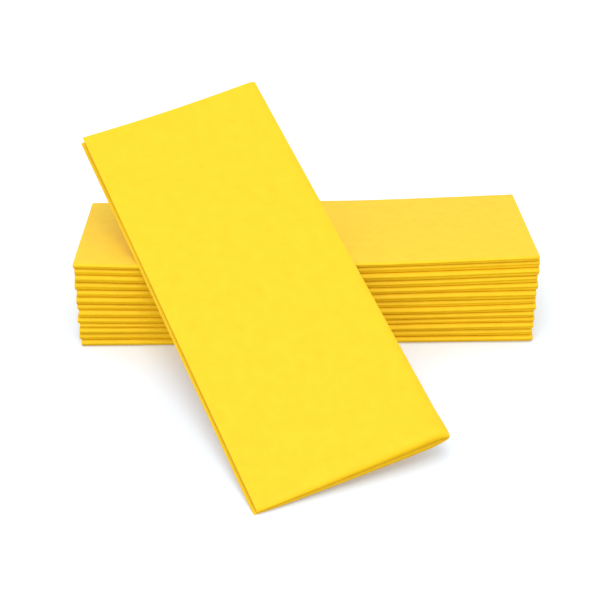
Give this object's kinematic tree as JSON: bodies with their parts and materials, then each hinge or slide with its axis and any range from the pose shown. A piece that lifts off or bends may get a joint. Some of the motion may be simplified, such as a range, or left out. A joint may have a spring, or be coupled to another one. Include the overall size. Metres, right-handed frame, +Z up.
{
  "type": "stack of paper napkins",
  "caption": "Stack of plain paper napkins with their rounded folds to the front, and a napkin of the same kind leaning across the stack's front edge.",
  "frame": {"origin": "middle of the stack's underside, on the table", "axes": "+X along the folds, +Y from the rounded folds at the front to the open edges at the back, +Z up"},
  "size_m": [0.1957, 0.1969, 0.0819],
  "materials": {
    "yellow_paper": "matte, soft dyed paper"
  },
  "bodies": {
    "root": {"napkin_01": "yellow_paper", "napkin_02": "yellow_paper", "napkin_03": "yellow_paper", "napkin_04": "yellow_paper", "napkin_05": "yellow_paper", "napkin_06": "yellow_paper", "napkin_07": "yellow_paper", "napkin_08": "yellow_paper", "napkin_09": "yellow_paper", "napkin_10": "yellow_paper", "napkin_11": "yellow_paper", "napkin_12": "yellow_paper", "napkin_13": "yellow_paper", "leaning_napkin": "yellow_paper"}
  },
  "joints": []
}
